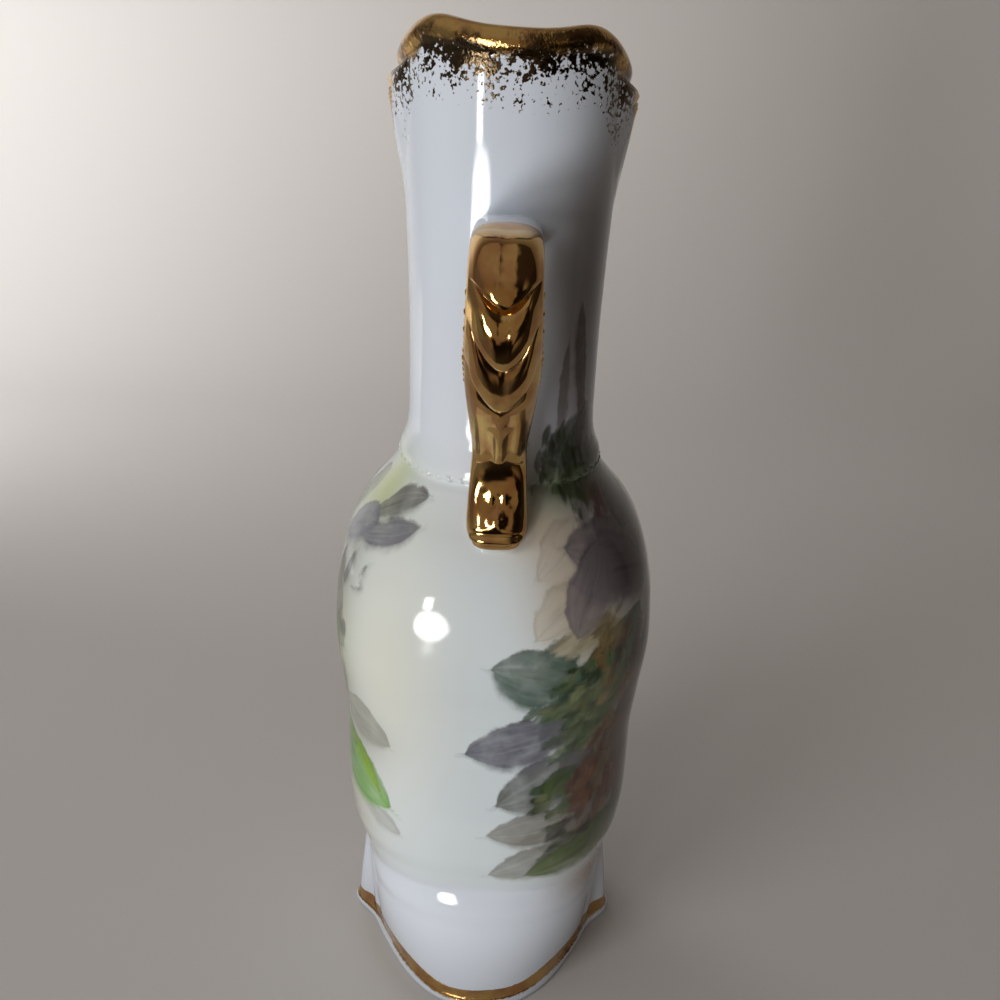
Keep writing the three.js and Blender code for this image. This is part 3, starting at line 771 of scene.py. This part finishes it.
def glazedPorcelain():
    material, nodes = newMaterial("glazedPorcelain")
    place = nodes.node("ShaderNodeTexCoord").outputs["Object"]
    fine = nodes.noise(place, 1 / (glaze["speckSize"] * mm), 3, .6)
    broad = nodes.noise(place, 160, 3)
    colour = nodes.attribute("ground").outputs["Color"]
    for number in range(paint["layers"]):
        along, across, inside = nodes.parts(nodes.attribute(f"leafShape{number}").outputs["Vector"])
        tint = nodes.attribute(f"leafTint{number}")
        rough = 1 - along.step(.7, .96) * .85  # the thin tail stays whole
        ragged = inside + ((fine - .5) * .8 + (broad - .5) * 3.2) * rough
        low = across.step(-.1, -.9)  # the lower edge is wiped softer than the upper
        strength = Value(nodes.tree, tint.outputs["Alpha"])
        cover = (ragged * (1 - low * glaze["softEdge"])).step(-.4, .6) * strength
        wear = broad.step(.2, .7) * .25 + .75
        hairs = nodes.node("ShaderNodeCombineXYZ", X=along * 1.5, Y=across * 2.6,
                           Z=broad * .5 + number * 3.1).outputs[0]
        brushed = nodes.noise(hairs, 1.5, rough=.55)
        vein = (abs(across) + (brushed - .5) * .3).step(.12, 0) * along.step(.9, .5)
        outline = (1 - ragged.step(0, 1.7)) * (.34 - low * .3)
        dark = outline + vein * glaze["veinDarkness"] + brushed.step(.52, .3) * .2
        painted = nodes.blend(dark, tint.outputs["Color"], (.02, .02, .018))
        washed = nodes.blend(brushed.step(.45, .8) * .16, painted, colour)
        colour = nodes.blend(cover * wear, colour, washed)
    below, band, full = nodes.parts(nodes.attribute("gilt").outputs["Vector"])
    solid = 1 - (below + (broad - .5) * 9 + (fine - .5) * 3).step(gilt["rimDepth"] - 1, gilt["rimDepth"] + 1)
    sparse = below.step(gilt["rimDepth"] - 2, gilt["speckleDepth"])
    specks = (fine + (broad - .5) * .5).step(sparse * .3 + .33, sparse * .3 + .37)
    specks = specks * (1 - below.step(gilt["speckleDepth"] - .5, gilt["speckleDepth"] + 1))
    hoop = (band + (fine - .5) * .5).step(-.15, .15)
    wholly = (full + (fine - .5) * .5).step(.4, .6)
    gold = solid.larger(specks).larger(hoop).larger(wholly)
    goldColour = nodes.blend(broad.step(.35, .7), glaze["gold"], glaze["wornGold"])
    # Speckles off the solid rim, and patches of the rim's own gold, take the near-black speck colour: a
    # painted dark reflection of the room on the gilding.
    rimDarkReflection = (broad + (fine - .5) * .4).step(.42, .55) * below.step(.6, 2.5) * solid * .85
    darkReflectionShare = ((1 - solid) * specks).larger(rimDarkReflection) * (1 - wholly)
    goldColour = nodes.blend(darkReflectionShare, goldColour, glaze["darkReflection"])
    grain = nodes.node("ShaderNodeBump", Strength=glaze["speckBump"], Distance=.25 * mm,
                       Height=(fine + broad) * gold * (1 - wholly))
    roughness = gold * (glaze["goldRoughness"] - glaze["roughness"]) + glaze["roughness"]
    surface = nodes.node("ShaderNodeBsdfPrincipled", Base_Color=nodes.blend(gold, colour, goldColour),
                         Metallic=gold, Roughness=roughness, IOR=glaze["index"],
                         Normal=grain.outputs["Normal"])
    nodes.node("ShaderNodeOutputMaterial", Surface=surface.outputs["BSDF"])
    return material


mesh.materials.append(glazedPorcelain())
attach(vase, "root")
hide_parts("vase")
print("finish ready")

# A pale table and backdrop, a window-like light low on one side, and a room bright on that side only
studio = {
    "tableColour": (.66, .64, .62), "tableRoughness": .7, "tableEdge": .12, "halfWidth": 2.4,
    "wallAway": .75, "sweep": .25, "wallHeight": 2.2,
    # shape, turned (degrees), distance, lowest and highest edge, width, power
    "windows": [("RECTANGLE", -26, 1.2, .03, .28, .12, 2.6), ("ELLIPSE", -24, 1.2, -.31, .02, .46, 7.8)],
    "windowColour": (1, .99, .97),
    # turned, distance, height, size, power
    "fills": [(-46, 1.1, .75, .5, 5.0), (215, .8, .8, .4, 1.6)], "fillTarget": .1,
    # place, target, size, power
    "backLight": ((-.25, -.62, .32), (-.75, -.5, .32), (.3, .6), 4.2),
    # the room by direction
    "left": (.25, .25, .25), "right": (.03, .024, .02),
    "highLeft": (.46, .42, .38), "highRight": (.05, .04, .035),
    "frontLow": (.36, .29, .22), "frontDark": (.012, .01, .009), "patches": 1.7, "beyond": (.27, .26, .25),
    "exposure": -.6,
}


def plainMaterial(name, colour, roughness):
    material, nodes = newMaterial(name)
    surface = nodes.node("ShaderNodeBsdfPrincipled", Base_Color=(*colour, 1), Roughness=roughness)
    nodes.node("ShaderNodeOutputMaterial", Surface=surface.outputs["BSDF"])
    return material


def backdrop():  # table that sweeps up into a wall
    side, sweep = studio["halfWidth"], studio["sweep"]
    start = studio["wallAway"] - sweep
    profile = [(studio["tableEdge"], 0)]
    profile += [(-start - sweep * math.sin(t), sweep * (1 - math.cos(t)))
                for t in np.linspace(0, math.pi / 2, 12)]
    profile.append((-studio["wallAway"], studio["wallHeight"]))
    points = [(px, py, pz) for px, pz in profile for py in (-side, side)]
    faces = [(2 * i, 2 * i + 1, 2 * i + 3, 2 * i + 2) for i in range(len(profile) - 1)]
    sweepMesh = bpy.data.meshes.new("backdrop")
    sweepMesh.from_pydata(points, [], faces)
    sweepMesh.shade_smooth()
    paper = plainMaterial("backdropPaint", studio["tableColour"], studio["tableRoughness"])
    sweepMesh.materials.append(paper)
    piece = bpy.data.objects.new("backdrop", sweepMesh)
    bpy.context.scene.collection.objects.link(piece)
    return piece


backdrop()


def softLight(name, place, target, shape, size, power, mirrored=False):  # mirrored: shows in reflections
    lamp = bpy.data.lights.new(name, "AREA")
    lamp.shape, (lamp.size, lamp.size_y) = shape, size
    lamp.energy = power
    piece = bpy.data.objects.new(name, lamp)
    piece.visible_glossy = mirrored
    aim = (place - target).to_track_quat("Z", "Y")
    piece.matrix_world = Matrix.Translation(place) @ aim.to_matrix().to_4x4()
    bpy.context.scene.collection.objects.link(piece)
    return lamp


def placeRound(turned, away, height):  # a place round the vase, turned in degrees from +X
    return Vector((away * math.cos(math.radians(turned)), away * math.sin(math.radians(turned)), height))


def lights():  # windows in front on the left, soft fills from high up, and one on the wall behind
    for number, (shape, turned, away, low, high, width, power) in enumerate(studio["windows"]):
        middle = (low + high) / 2
        lamp = softLight(f"window{number}", placeRound(turned, away, middle), Vector((0, 0, middle)), shape,
                         (width, high - low), power, mirrored=True)
        lamp.color = studio["windowColour"]
    for number, (turned, away, height, size, power) in enumerate(studio["fills"]):
        softLight(f"fill{number}", placeRound(turned, away, height), Vector((0, 0, studio["fillTarget"])),
                  "SQUARE", (size, size), power)
    place, target, size, power = studio["backLight"]
    softLight("backLight", Vector(place), Vector(target), "RECTANGLE", size, power)


lights()


def room():  # light of the room by direction: bright on the left, dark on the right, patchy in front
    world = bpy.data.worlds.new("room")
    bpy.context.scene.world = world
    world.use_nodes = True
    nodes = Nodes(world.node_tree)
    way = nodes.node("ShaderNodeTexCoord").outputs["Generated"]
    toX, toY, toZ = nodes.parts(way)
    patchy = nodes.noise(way, studio["patches"])
    front = nodes.blend(patchy.step(.42, .56), studio["frontDark"], studio["frontLow"])
    sides = nodes.blend(toY.step(-.45, .05), studio["left"], studio["right"])
    around = nodes.blend(toX.step(.45, .75), sides, front)
    high = nodes.blend((toY + (patchy - .5) * .6).step(0, .22), studio["highLeft"], studio["highRight"])
    whole = nodes.blend(toZ.step(.25, .6), around, high)
    seen = nodes.node("ShaderNodeLightPath").outputs["Is Camera Ray"]
    whole = nodes.blend(seen, whole, studio["beyond"])  # a plain tone where nothing stands behind the vase
    glow = nodes.node("ShaderNodeBackground", Color=whole)
    nodes.node("ShaderNodeOutputWorld", Surface=glow.outputs[0])


room()
scene = bpy.context.scene
scene.view_settings.view_transform = "Standard"
scene.view_settings.exposure = studio["exposure"]

# The camera looks along -X. Its line of sight falls by a share of the way ahead, and it is rolled by degrees
view = {"lens": 36, "sensor": 36, "place": (.244, .0006, .246), "fall": .434, "roll": 2.3}
lens = bpy.data.cameras.new("camera")
lens.lens, lens.sensor_width = view["lens"], view["sensor"]
camera = bpy.data.objects.new("camera", lens)
pitch = math.atan(view["fall"])
aim = Matrix(((0, -math.sin(pitch), math.cos(pitch)), (1, 0, 0), (0, math.cos(pitch), math.sin(pitch))))
camera.matrix_world = (Matrix.Translation(view["place"]) @ aim.to_4x4()
                       @ Matrix.Rotation(math.radians(view["roll"]), 4, "Z"))
scene.collection.objects.link(camera)
scene.camera = camera
